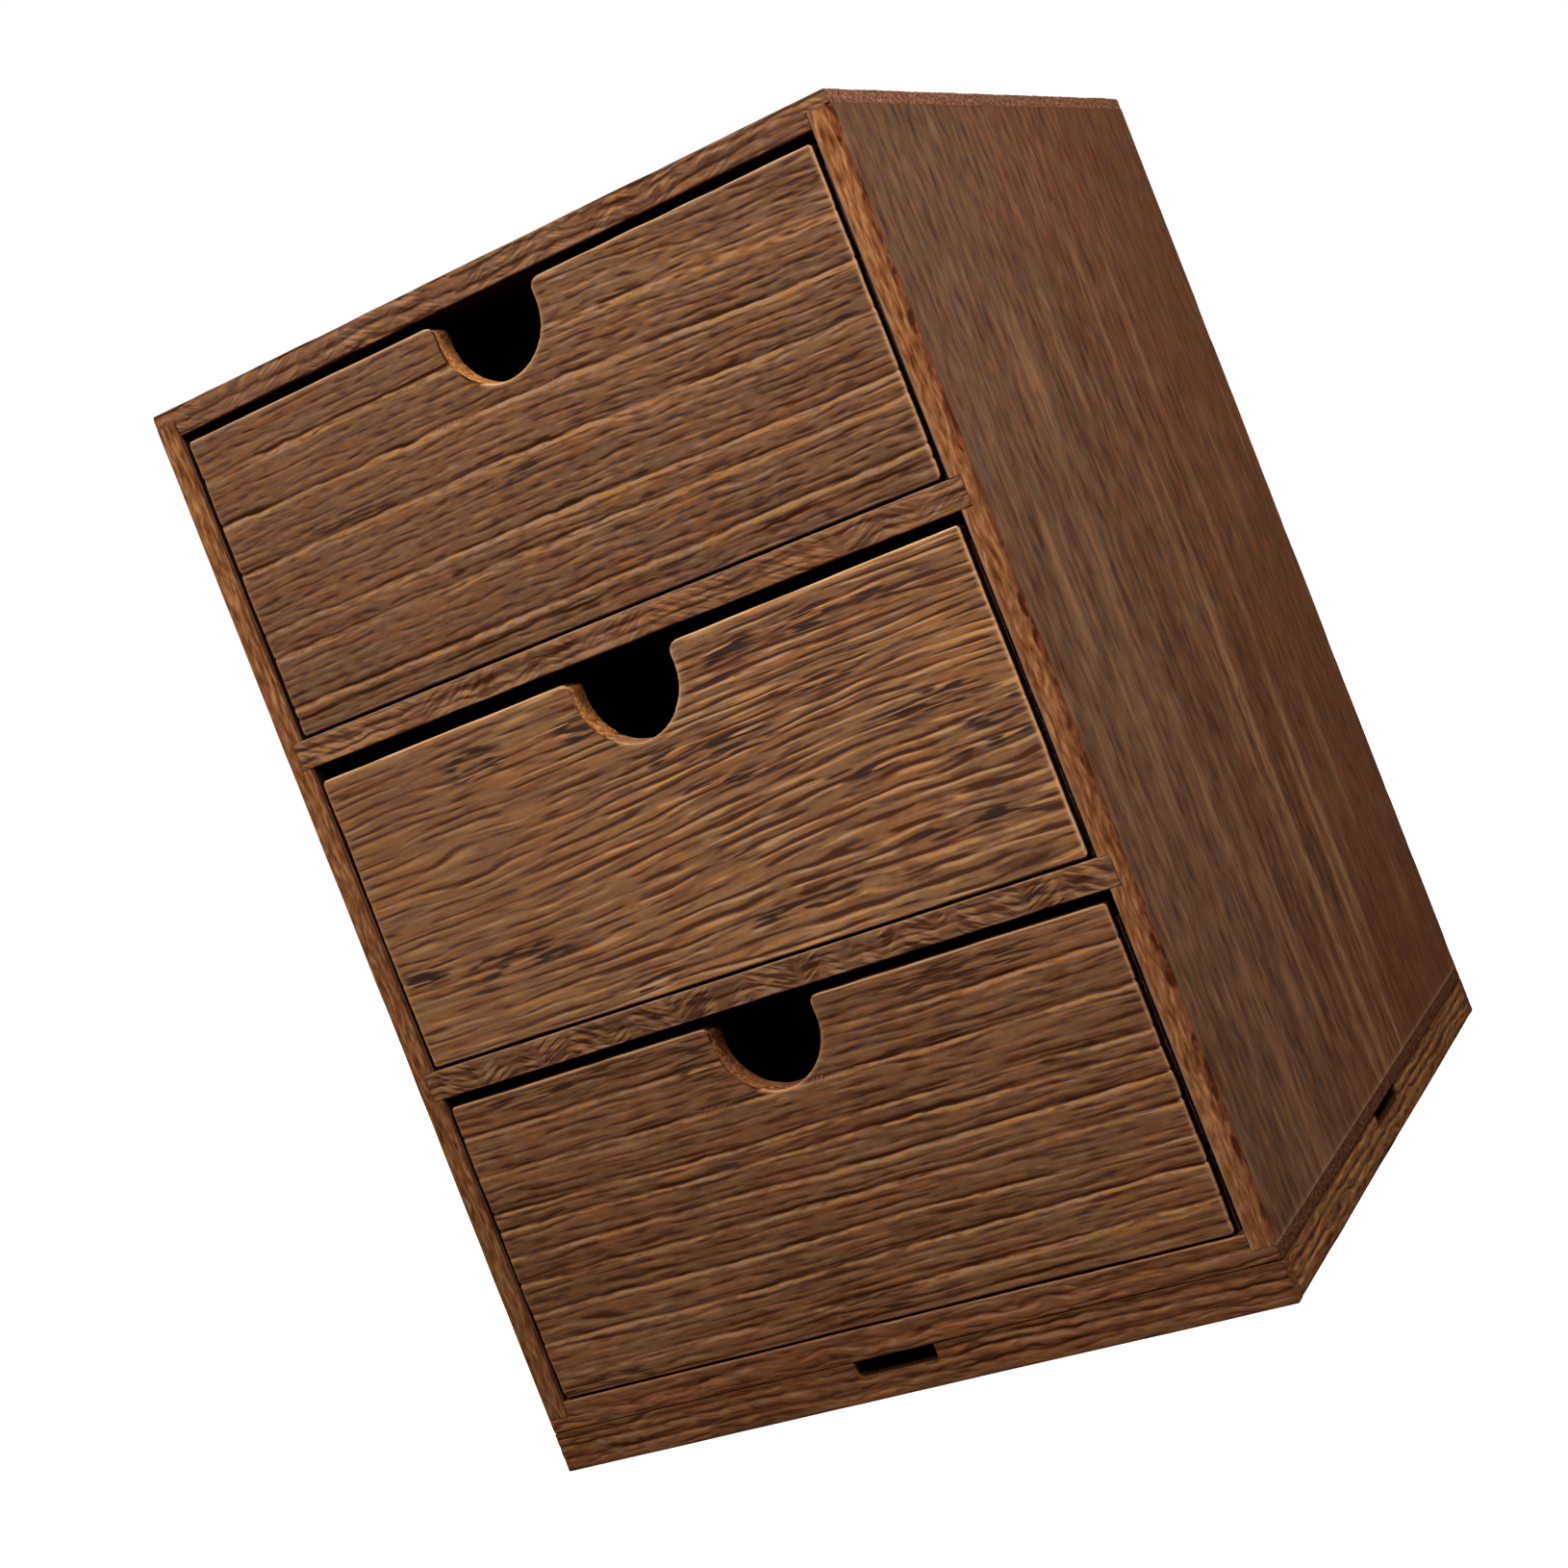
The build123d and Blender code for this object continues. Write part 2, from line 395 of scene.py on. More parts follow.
class Board:
    """One finished board in place of a node of the frame.

    grain is the axis along the fibres and depth the axis through the show face. steps are the mesh
    steps along X, Y and Z. seated are the nodes that are let into this one. radii, ragged and rims
    are given for edges and wobble for faces: the radius of an edge, how far it is bitten, how light
    its line is, from wear and painted highlight, or how dark, from a seam or painted shade, and how
    uneven a face is. radius and seam hold for the other edges. The faces listed for painted gap
    shade get painted shade where they lie inside a gap, faces in sawn show rough wood. slope is how
    far the top edge lies below the box, and marks are more mesh lines along an axis.
    """

    def __init__(self, node, slot, grain, depth, steps, figure, material, seated=(), notch=None,
                 radius=joint_arris, radii=None, ragged=None, wobble=None, hidden=(), sawn=(),
                 relief=1.0, slope=None, marks=None, rims=None, seam=-0.5):
        self.node, self.slot = node, slot
        self.grain, self.depth = grain, depth
        self.across = 3 - grain - depth
        self.steps, self.figure, self.material = steps, figure, material
        self.seated, self.notch = seated, notch
        self.radius, self.radii, self.ragged = radius, radii or {}, ragged or {}
        self.wobble, self.hidden, self.sawn = wobble or {}, hidden, sawn
        self.relief, self.slope, self.marks = relief, slope, marks or {}
        self.rims, self.seam = rims or {}, seam

    def mesh(self, low, high):
        """Points and faces of the board before its edges and faces are worked."""
        cutters = [box_of(name) for name in self.seated]
        notch = self.notch
        if notch:
            cutters.append(notch.cutter(low, high))
        lines = []
        for axis in (X, Y, Z):
            marks = [c for cutter in cutters for c in (cutter[0][axis], cutter[1][axis])]
            marks += self.marks.get(axis, [])
            if notch and axis == notch.across:
                marks += [notch.middle + hand * (notch.half + off) for hand in (-1, 1) for off in edge_lines]
            if notch and axis == Z:
                marks += [notch.floor - off for off in edge_lines]
            lines.append(mesh_lines(low[axis], high[axis], self.steps[axis], marks))
        points, quads = shell(lines, cutters)
        if self.slope is not None:
            share = ramp(points[:, Z], (low[Z] + high[Z]) / 2, high[Z])
            points[:, Z] -= self.slope(points[:, X]) * share
        if notch:
            notch.warp(points)
        return points, quads

    def walls(self, points, low, high):
        """The six faces and the notch: distance into the wood and outward direction."""
        walls = plane_walls(points, low, high)
        if self.slope is not None:
            drop = self.slope(points[:, X])
            walls[TOP] = (np.maximum(high[Z] - drop - points[:, Z], 0), walls[TOP][1])
        if self.notch:
            walls[NOTCH] = self.notch.wall(points)
        return walls

    def worked(self, points, walls, marks, bites):
        """The points with round and bitten edges, and with the relief of the grain."""
        seed = self.figure.seed
        wear = 1 + 0.35 * noise(points, wear_cells, seed + 20)

        def radius_of(first, second):
            edge = pair(first, second)
            radius = self.radii.get(edge, self.radius) * wear + self.ragged.get(edge, 0) * bites
            return np.minimum(radius, widest_bite)

        sunk = self.figure.depth(marks)
        rough = 0.5 + 0.5 * noise(points, wobble_cells, seed + 22)
        moved = points + ease(points, walls, radius_of)
        for name, (distance, normal) in walls.items():
            strength = end_relief if name == NOTCH or name[0] == self.grain else self.relief
            uneven = rough + 0.5 * marks["groove"] if name[0] == self.grain else rough
            uneven = self.wobble.get(name, 0) * uneven
            fade = np.clip(1 - distance / relief_reach, 0, 1)
            moved -= normal * ((strength * sunk + uneven) * fade)[:, None]
        return moved

    def mark_edges(self, points, walls, marks, bites):
        """Adds to the marks where edges are worn or bitten, with light lines that are also painted
        highlight, where faces inside gaps get painted shade, and where faces are sawn.
        """
        def nearest(names):
            return np.min([walls[name][0] for name in names], axis=0)

        # Light lines along edges are wear and painted highlight; dark ones are seams, and on some edges
        # painted shade
        light, dark = np.zeros(len(points)), np.zeros(len(points))
        for first, second in edges_of(walls):
            strength = self.rims.get(pair(first, second), self.seam)
            # Round a notch, the wall facing right gets a dark ragged line and the rest a light line of wear
            # and painted highlight
            if second == NOTCH and self.rims:
                torn = 1 + 0.8 * noise(points, torn_cells, self.figure.seed + 23)
                strength = np.where(walls[second][1][:, X] > 0.5, -torn, 1.0)
            reach = np.hypot(walls[first][0], walls[second][0])
            light = np.maximum(light, strength * bell(reach, 0, wear_and_highlight_reach))
            dark = np.minimum(dark, strength * bell(reach, 0, seam_reach))
        marks["rim"] = light + dark
        marks["edge"] = np.exp(-walls[FRONT][0] / front_reach)
        ends = [name for name in walls if name == NOTCH or name[0] == self.grain]
        marks["end_grain"] = np.exp(-nearest(ends) / end_reach)
        # Painted shade: faces inside a gap are darkened, fading out away from the faces that show
        if self.hidden:
            shown = nearest(name for name in (LEFT, RIGHT, FRONT) if name not in self.hidden)
            marks["hidden"] = np.exp(-nearest(self.hidden) / painted_gap_shade_reach) * ramp(shown, *shown_fade)
        if self.sawn:
            marks["sawn"] = np.exp(-np.maximum(nearest(self.sawn) - sawn_depth, 0) / sawn_reach)
        if self.ragged:
            near = [np.hypot(*(walls[name][0] for name in edge)) for edge in self.ragged]
            marks["bite"] = (0.4 + 0.6 * bites) * bell(np.min(near, axis=0), 0, bite_reach)

    def build(self):
        """Makes the board and puts it in place of its node."""
        low, high = box_of(self.node)
        points, quads = self.mesh(low, high)
        walls = self.walls(points, low, high)
        grain, marks = self.figure.read(points[:, (self.grain, self.across, self.depth)])
        bites = ramp(noise(points, bite_cells, self.figure.seed + 21), 0.05, 0.55)
        moved = self.worked(points, walls, marks, bites)
        self.mark_edges(points, walls, marks, bites)

        mesh = bpy.data.meshes.new(self.node)
        mesh.from_pydata((moved * MM).tolist(), [], quads.tolist())
        for name, value in marks.items():
            layer = mesh.attributes.new(name, "FLOAT", "POINT")
            layer.data.foreach_set("value", value.astype(np.float32))
        layer = mesh.attributes.new("grain", "FLOAT_VECTOR", "POINT")
        layer.data.foreach_set("vector", grain.astype(np.float32).ravel())
        mesh.polygons.foreach_set("use_smooth", np.ones(len(quads), bool))
        mesh.set_sharp_from_angle(angle=crease)
        mesh.materials.append(self.material)
        piece = bpy.data.objects.new(self.node + "_finished", mesh)
        bpy.context.scene.collection.objects.link(piece)
        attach(piece, frame["nodes"][self.node]["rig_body"])
        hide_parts(self.node)


# Finishes. Patterns are sized in millimetres along the grain, across it and in depth, and each adds
# its own number to the offset of its wood, so that no two look alike.

# Shades of a wood and of its sawn and bitten parts: place in the pattern, and ratio to the colour
tone_shades = (
    (0.0, (0.34, 0.28, 0.28)), (0.25, (0.63, 0.57, 0.55)), (0.5, 1.0), (0.76, (1.46, 1.58, 1.6)),
    (1.0, (2.15, 2.5, 2.6)))
sawn_shades = (
    (0.3, (0.34, 0.26, 0.21)), (0.43, (0.74, 0.66, 0.6)), (0.53, 1.0), (0.69, (1.7, 1.95, 2.2)))
bitten_shades = ((0.42, (0.2, 0.14, 0.17)), (0.62, (0.62, 0.47, 0.45)))

# Marks on a wood, as ratios to its tint
light_stripe, dark_stripe = (2.1, 1.95, 1.6), (0.5, 0.44, 0.42)
groove_ratio = (0.24, 0.16, 0.12)
fleck_ratio = (0.2, 0.23, 0.42)
seam_ratio = (0.2, 0.14, 0.11)
# painted shade inside gaps, as a ratio to the tint
painted_gap_shade_ratio = 0.22

# Casts of colour over a wood: size, strength, the tones that take it, and ratio to the colour
casts = (
    ((20, 3.5, 3.5), 0.7, "all", (1.1, 0.93, 0.8)),
    ((34, 6.0, 6.0), 0.5, "all", (0.93, 1.0, 1.04)),
    ((3.2, 0.9, 0.9), 1.0, "dark", (0.84, 0.98, 1.7)),
    ((2.6, 0.8, 0.8), 1.0, "light", (1.1, 0.97, 0.6)),
    ((2.6, 0.8, 0.8), 0.6, "light", (1.0, 0.96, 1.25)),
    ((2.6, 0.8, 0.8), 0.6, "dark", (1.15, 0.94, 0.75)))

# Sizes and strengths of patterns
wave_width = 2.6
broad_size, patch_width, relief_width = (55, 11, 11), 2.7, 1.5
speck_size, lip_highlight_size, pale_size = (1.7, 0.8, 0.8), (3.6, 0.9, 0.9), (6, 1.1, 1.1)
hold_size, fleck_size = (11, 2.0, 2.0), (7.0, 0.7, 0.7)
end_size, sawn_size, bitten_size = (0.9, 0.7, 0.7), (4.5, 0.75, 0.75), (2.6, 1.1, 1.1)
crossed_patch, crossed_stroke = (9, 30, 30), (4.5, 0.62, 1)
fine_share, streak_share, broad_share = 0.18, 0.25, 0.4
# the second share is that of the painted highlight below the growth lines
fibre_share, lip_highlight_share = 0.08, 0.85
mark_share = 0.9  # strength of stripes, rims and seams
lean_ends = (-90, 90)  # where the painted light and shade that makes a wood lighter along a board begins and ends


def stain(red, green, blue):
    """A colour given as it shows, from 0 to 255, as the linear colour that nodes take."""
    def linear(value):
        value /= 255
        return value / 12.92 if value <= 0.04045 else ((value + 0.055) / 1.055) ** 2.4
    return linear(red), linear(green), linear(blue), 1.0


def tinted(colour, ratio):
    """A linear colour made lighter or darker, channel by channel or all alike."""
    ratios = ratio if isinstance(ratio, tuple) else (ratio,) * 3
    return tuple(c * f for c, f in zip(colour[:3], ratios)) + (1.0,)


class Tree:
    """Short forms for the nodes of one material or of the world."""

    def __init__(self, owner, offset=0.0):
        owner.use_nodes = True
        self.owner, self.offset = owner, offset
        self.nodes, self.links = owner.node_tree.nodes, owner.node_tree.links
        self.shader = self.nodes.get("Principled BSDF")

    def put(self, socket, value):
        """Gives a socket a value or the output of another node."""
        if isinstance(value, bpy.types.NodeSocket):
            self.links.new(value, socket)
        else:
            socket.default_value = value

    def node(self, kind, inputs=None, **settings):
        """A new node with its settings, and then its inputs by name or number."""
        node = self.nodes.new("ShaderNode" + kind)
        for name, value in settings.items():
            setattr(node, name, value)
        for name, value in (inputs or {}).items():
            self.put(node.inputs[name], value)
        return node

    def attribute(self, name, output="Fac"):
        return self.node("Attribute", attribute_name=name).outputs[output]

    def parts(self, vector):
        return self.node("SeparateXYZ", {0: vector}).outputs

    def vector(self, operation, first, second):
        return self.node("VectorMath", {0: first, 1: second}, operation=operation).outputs["Vector"]

    def maths(self, operation, first, second=0.0, clamp=False):
        inputs = {0: first, 1: second}
        return self.node("Math", inputs, operation=operation, use_clamp=clamp).outputs[0]

    def times(self, first, second, clamp=False):
        return self.maths("MULTIPLY", first, second, clamp)

    def plus(self, total, value, share=1.0):
        """A total with a share of one more value."""
        return self.maths("ADD", total, self.times(value, share))

    def cloud(self, vector, size, number, detail=1.0, output="Fac"):
        """Noise whose features have the given size along, across and in depth."""
        scaled = self.vector("MULTIPLY", vector, [1 / s for s in size])
        inputs = {"Vector": scaled, "W": self.offset + number, "Scale": 1.0, "Detail": detail}
        return self.node("TexNoise", inputs, noise_dimensions="4D").outputs[output]

    def spread(self, value, low, high, to_low=0.0, to_high=1.0):
        """A value from low to high, spread smoothly from to_low to to_high."""
        inputs = {"From Min": low, "From Max": high, "To Min": to_low, "To Max": to_high, "Value": value}
        return self.node("MapRange", inputs, interpolation_type="SMOOTHSTEP").outputs["Result"]

    def mix(self, factor, first, second, blend="MIX"):
        inputs = {"Factor": factor, "A": first, "B": second}
        return self.node("Mix", inputs, data_type="RGBA", blend_type=blend).outputs["Result"]

    def filtered(self, colour, ratio):
        return self.mix(1.0, colour, ratio, "MULTIPLY")

    def dimmed(self, colour, level):
        """A colour times a number that other nodes work out."""
        grey = self.node("CombineColor", {name: level for name in ("Red", "Green", "Blue")})
        return self.filtered(colour, grey.outputs["Color"])

    def shades(self, value, colour, stops):
        """A pattern in shades of one colour, each at its place and with its ratio."""
        node = self.node("ValToRGB", {"Fac": value})
        points = node.color_ramp.elements
        while len(points) < len(stops):
            points.new(0.5)
        for point, (place, ratio) in zip(points, stops):
            point.position = place
            point.color = tinted(colour, ratio)
        return node.outputs["Color"]


def furrow_shade_and_highlight(tree, pitch, length):
    """Painted shade in furrows about pitch apart, each with a painted highlight on a ridge below it, about
    nought.
    """
    place = tree.parts(tree.swayed)
    across = tree.maths("ADD", place["Y"], place["Z"])
    stray = tree.times(tree.cloud(tree.swayed, (length, 3.5, 3.5), 25), 8.0)
    turn = tree.maths("ADD", tree.times(across, 2 * math.pi / pitch), stray)
    furrow_shade = tree.spread(tree.maths("SINE", turn), 0.0, 1.0, 0.0, -0.66)
    ridge_highlight = tree.spread(tree.maths("SINE", tree.maths("ADD", turn, 1.9)), -0.1, 1.0, 0.0, 0.42)
    return tree.maths("ADD", furrow_shade, ridge_highlight)


def crossed(tree):
    """Strokes slanting one way in some patches and the other way in others, about nought."""
    along, height = tree.place["X"], tree.place["Z"]
    patches = tree.cloud(tree.grain, crossed_patch, 31, 0.0)
    total = 0.0
    for slope, low, high in ((0.45, 0.5, 0.57), (-0.45, 0.48, 0.41)):
        slant = tree.node("CombineXYZ", {"X": along, "Y": tree.plus(height, along, slope)})
        strokes = tree.cloud(slant.outputs["Vector"], crossed_stroke, 33 + slope, 0.5)
        strokes = tree.maths("SUBTRACT", tree.spread(strokes, 0.38, 0.62), 0.5)
        total = tree.plus(total, strokes, tree.spread(patches, low, high))
    return total


def wood_tone(tree, fibre, pitch, ridged, ring, pores, mottle, grit):
    """How light the wood is, about nought: its fibres, pores, patches, growth lines, the painted shade
    and highlight of furrows, and the painted highlight below growth lines.
    """
    length, width = fibre
    swayed = tree.swayed
    short = tree.cloud(swayed, (0.6 * length, 1.05 * width, 1.05 * width), 3, 0.4)
    streak = tree.cloud(swayed, (2.8 * length, 2.3 * width, 2.3 * width), 5, 2.0)
    broad = tree.cloud(tree.grain, broad_size, 7)
    patchy = tree.cloud(swayed, (1.8 * length, patch_width, patch_width), 23, 2.0)
    # Painted shade and highlight of furrows, shown in patches
    shown = tree.spread(tree.cloud(swayed, (0.9 * length, relief_width, relief_width), 27), 0.38, 0.58)
    relief = tree.times(furrow_shade_and_highlight(tree, pitch, 2.0 * length), shown)
    speck = tree.cloud(tree.grain, speck_size, 29)
    strands, strokes = tree.spread(tree.fine, 0.32, 0.68), tree.spread(short, 0.53, 0.68, 0.56, 0.0)
    tone = tree.times(tree.attribute("fibre"), fibre_share)
    for value, share in ((strands, fine_share), (strokes, pores), (streak, streak_share),
                         (broad, broad_share), (patchy, mottle), (speck, grit)):
        tone = tree.plus(tone, tree.maths("SUBTRACT", value, 0.5), share)
    tone = tree.plus(tone, relief, ridged)
    tone = tree.plus(tone, tree.attribute("ring"), ring)
    # Painted highlight in a band below each growth line, in spots
    spots = tree.spread(tree.cloud(swayed, lip_highlight_size, 21, 2.0), 0.38, 0.56, 0.4, 1.0)
    return tree.plus(tone, tree.times(tree.attribute("lip"), spots), lip_highlight_share)


def cast(tree, colour, tone):
    """The colour with casts of orange and blue over its dark and light parts."""
    levels = {"all": 1.0, "dark": tree.spread(tone, 0.5, 0.25), "light": tree.spread(tone, 0.42, 0.68)}
    for number, (size, share, tones, ratio) in enumerate(casts):
        where = tree.spread(tree.cloud(tree.grain, size, 9 + number, 2.0), 0.45, 0.6, 0.0, share)
        where = tree.times(where, levels[tones])
        colour = tree.mix(where, colour, tree.filtered(colour, ratio + (1.0,)))
    return colour


def marked(tree, colour, tint, dashes):
    """The colour with its stripes, dark growth lines and dark flecks."""
    broken = tree.spread(tree.cloud(tree.swayed, pale_size, 13, 2.0), 0.38, 0.55, 0.25, 1.0)
    pale = tree.times(tree.attribute("pale"), broken)
    for share, ratio in ((mark_share, light_stripe), (-mark_share, dark_stripe)):
        colour = tree.mix(tree.times(pale, share, clamp=True), colour, tinted(tint, ratio))
    hold = tree.spread(tree.cloud(tree.grain, hold_size, 14), 0.36, 0.56, 0.5, 1.0)
    groove = tree.times(tree.spread(tree.attribute("groove"), 0.1, 0.8), hold)
    colour = tree.mix(groove, colour, tinted(tint, groove_ratio))
    flecks = tree.spread(tree.cloud(tree.swayed, fleck_size, 16, 0.6), 0.48, 0.62, 0.0, dashes)
    flecks = tree.times(flecks, tree.spread(tree.attribute("patch"), 0.15, 0.8))
    return tree.mix(flecks, colour, tinted(tint, fleck_ratio))


def bared(tree, colour, warm, fade):
    """The colour with bare wood on end grain, sawn faces and bitten edges."""
    patterns = {
        "sawn": tree.cloud(tree.swayed, sawn_size, 17, 2.5),
        "end_grain": tree.cloud(tree.grain, end_size, 15, 2.0)}
    for mark, pattern in patterns.items():
        wood = tree.shades(pattern, warm, sawn_shades)
        # Painted shade: where fade is given, the sawn wood gets darker towards the foot
        if fade is not None:
            factor, top, foot = fade
            wood = tree.dimmed(wood, tree.spread(tree.place["X"], foot, top, factor, 1.0))
        colour = tree.mix(tree.attribute(mark), colour, wood)
    bitten = tree.shades(tree.cloud(tree.grain, bitten_size, 19), warm, bitten_shades)
    return tree.mix(tree.spread(tree.attribute("bite"), 0.12, 0.5), colour, bitten)


def edged(tree, colour, tint, rim):
    """The colour with worn edges, which also carry painted highlight, dark seams and painted shade inside
    gaps.
    """
    wear_and_highlight = tree.times(tree.attribute("rim"), tree.spread(tree.fine, 0.3, 0.55, 0.5, 1.0), clamp=True)
    colour = tree.mix(tree.times(wear_and_highlight, mark_share), colour, tinted(tint, (rim, 1.15 * rim, 1.2 * rim)))
    seam = tree.times(tree.attribute("rim"), -mark_share, clamp=True)
    colour = tree.mix(seam, colour, tinted(tint, seam_ratio))
    # Painted shade inside gaps
    return tree.mix(tree.attribute("hidden"), colour, tinted(tint, painted_gap_shade_ratio))


def stained_wood(name, tint, warm, offset, contrast=1.0, fibre=(8.0, 0.6), sway=(9.0, 1.0), ring=0.2,
                 drift=None, cross=0.0, rim=1.9, dashes=0.25, mottle=0.0, fade=None, ridged=0.9,
                 pitch=2.2, pores=0.5, grit=0.0, calm=None, lean=0.0):
    """Dark stained wood. Grooves and pores hold the stain; ridges and edges are lighter, partly
    worn and partly painted highlight, and furrows carry painted shade and highlight.

    tint is the mean colour, warm that of sawn wood and end grain. fibre is the length and width of
    the fibres, sway that of their waves. drift is a second tint that the first passes into across
    the board, with the two places. fade is painted shade: how dark the sawn wood gets towards the
    foot, with the two heights. cross is the strength of a crossed figure on front edges, ring of
    the shading between growth lines, mottle of broad patches, ridged of the painted shade and
    highlight of furrows, which are pitch apart, and pores, dashes and grit of short strokes, flecks
    and specks. calm tells where the figure is fainter: by how much, along which axis, and the two
    places. lean is painted light and shade: how much lighter the right end is than the left. rim
    is how light the worn edges are, with painted highlight.
    """
    tint, warm = stain(*tint), stain(*warm)
    tree = Tree(bpy.data.materials.new(name), offset)
    tree.grain = tree.attribute("grain", "Vector")
    waves = tree.cloud(tree.grain, (sway[0], wave_width, wave_width), 0, output="Color")
    tree.swayed = tree.vector("ADD", tree.grain, tree.vector("MULTIPLY", waves, (0, sway[1], sway[1])))
    tree.fine = tree.cloud(tree.swayed, (fibre[0], fibre[1], fibre[1]), 1, 0.4)
    tree.place = tree.parts(tree.grain)

    tone = tree.times(wood_tone(tree, fibre, pitch, ridged, ring, pores, mottle, grit), contrast)
    if calm is not None:
        share, axis, start, end = calm
        tone = tree.times(tone, tree.spread(tree.place[axis], start, end, 1 - share, 1.0))
    if cross:
        tone = tree.plus(tone, tree.times(crossed(tree), tree.attribute("edge")), cross)
    tone = tree.maths("ADD", tone, 0.5, clamp=True)

    colour = tree.shades(tone, tint, tone_shades)
    if drift is not None:
        second, start, end = drift
        ratio = tuple(b / a for a, b in zip(tint[:3], stain(*second))) + (1.0,)
        drifted = tree.filtered(colour, ratio)
        colour = tree.mix(tree.spread(tree.place["Y"], start, end), colour, drifted)
    # Painted light and shade: the board lighter or darker towards its right end
    if lean:
        level = tree.spread(tree.place["X"], *lean_ends, 1 - lean / 2, 1 + lean / 2)
        colour = tree.dimmed(colour, level)
    colour = cast(tree, colour, tone)
    colour = marked(tree, colour, tint, dashes)
    colour = bared(tree, colour, warm, fade)
    colour = edged(tree, colour, tint, rim)

    bump = tree.node("Bump", {"Strength": 0.4, "Distance": 0.12 * MM, "Height": tone})
    shader = tree.shader.inputs
    tree.put(shader["Base Color"], colour)
    tree.put(shader["Roughness"], tree.spread(tree.fine, 0.3, 0.7, 0.75, 0.6))
    tree.put(shader["Specular IOR Level"], 0.0)
    tree.put(shader["Normal"], bump.outputs["Normal"])
    return tree.owner


# Settings of the woods, with colours as they show, from 0 to 255
orange, rail_brown = (150, 94, 54), (112, 70, 42)
notch_orange, notch_brown = (166, 108, 60), (126, 76, 46)
side = dict(
    tint=(105, 76, 56), contrast=0.6, fibre=(6.0, 2.6), sway=(10.0, 2.6), mottle=1.4, pores=0.2,
    dashes=0.15, ridged=0.4, pitch=4.0, drift=((106, 69, 48), -70, 40), calm=(0.45, "Y", 75, 10))
wood_settings = {
    "board": dict(
        tint=(114, 78, 55), warm=(126, 84, 63), offset=121.0, cross=0.36, rim=0.6, contrast=0.55,
        fibre=(9.0, 0.8), sway=(9.0, 2.0), calm=(0.5, "X", -60, 30), lean=-0.27),
    "lower_divider": dict(
        tint=(113, 77, 53), warm=orange, offset=161.0, cross=0.75, contrast=0.6, fibre=(7.0, 0.75),
        sway=(8.0, 1.6), lean=0.08),
    "upper_divider": dict(
        tint=(117, 80, 55), warm=orange, offset=361.0, cross=0.4, contrast=0.75,
        fibre=(12.0, 0.75), sway=(8.0, 1.6), lean=-0.2),
    # The two sides: painted shade on the sawn fronts towards the foot, much stronger on the left, and
    # brighter edge lines on the right, which are wear and painted highlight
    "left_side": dict(side, warm=(146, 94, 56), offset=201.0, rim=1.0, fade=(0.76, 200, 30)),
    "right_side": dict(side, warm=(148, 94, 56), offset=205.0, rim=2.6, fade=(0.95, 220, 60)),
    "base": dict(
        tint=(113, 72, 47), warm=(92, 58, 42), offset=241.0, contrast=0.68, fibre=(8.0, 0.7),
        sway=(9.0, 2.2)),
    "plinth": dict(
        tint=(109, 70, 46), warm=rail_brown, offset=261.0, contrast=0.6, fibre=(7.0, 0.7),
        sway=(8.0, 2.2), rim=1.1),
    "plinth_side": dict(
        tint=(120, 79, 49), warm=rail_brown, offset=265.0, contrast=0.6, fibre=(7.0, 0.8),
        sway=(8.0, 2.2), rim=1.3),
    "back": dict(tint=(92, 64, 46), warm=orange, offset=281.0, contrast=0.7, rim=1.0),
    "inside": dict(tint=(94, 66, 46), warm=(104, 70, 46), offset=321.0, contrast=0.7, rim=1.2),
    "upper_front": dict(
        tint=(116, 81, 56), warm=notch_orange, offset=1.0, contrast=0.78, lean=-0.14,
        calm=(0.28, "X", -60, 30), fibre=(7.5, 0.75), sway=(14.0, 0.7), ring=0.16, rim=3.0,
        pitch=2.1, pores=0.55, grit=0.5, dashes=0.8),
    "middle_front": dict(
        tint=(137, 96, 64), warm=notch_orange, offset=41.0, contrast=0.87,
        calm=(0.42, "X", -60, 30), fibre=(13.0, 0.85), sway=(18.0, 0.9), ring=0.1, rim=3.2,
        ridged=1.3, pitch=2.3, pores=0.6, grit=0.3, dashes=1.0),
    "lower_front": dict(
        tint=(118, 80, 53), warm=notch_brown, offset=81.0, contrast=0.78, lean=0.08,
        fibre=(11.0, 0.8), sway=(14.0, 0.7), ring=0.1, rim=2.4, ridged=0.75, grit=0.4, dashes=0.9),
}


# Growth lines of the upper and lower front: their heights at the left end, from the ground
upper_lines = (176.5, 179.4, 190.8, 196.0, 210.2, 221.3, 232.8)
lower_lines = (16.5, 21.5, 29.0, 36.0, 43.3, 49.3, 55.3, 59.3, 68.3, 77.5)


def upper_bend(along, height):
    """The lines of the upper front drop towards the right, most at the top."""
    return 5.0 * ramp(along, -10, 95) * ramp(height, 176, 236)


def middle_bend(along, height):
    """The grain of the middle front climbs to the right in a wave and swells round a long oval."""
    climb = -7.0 * ramp(along, -55, 55) * bell(height, 126, 24)
    off = height - 135.0
    oval = 1.3 * bell(along, -53, 14) * np.clip(off / 5, -1, 1) * bell(off, 0, 9)
    return climb - oval


def lower_bend(along, height):
    """The lines of the lower front climb a little to the right, most near the bottom."""
    return -2.4 * ramp(along, -70, 90) * ramp(60 - height, 0, 40)


def top_bend(along, across):
    """The figure of the top board dips in one place and climbs in another."""
    return 2.6 * bell(along, 40, 13) - 1.8 * bell(along, -25, 16)


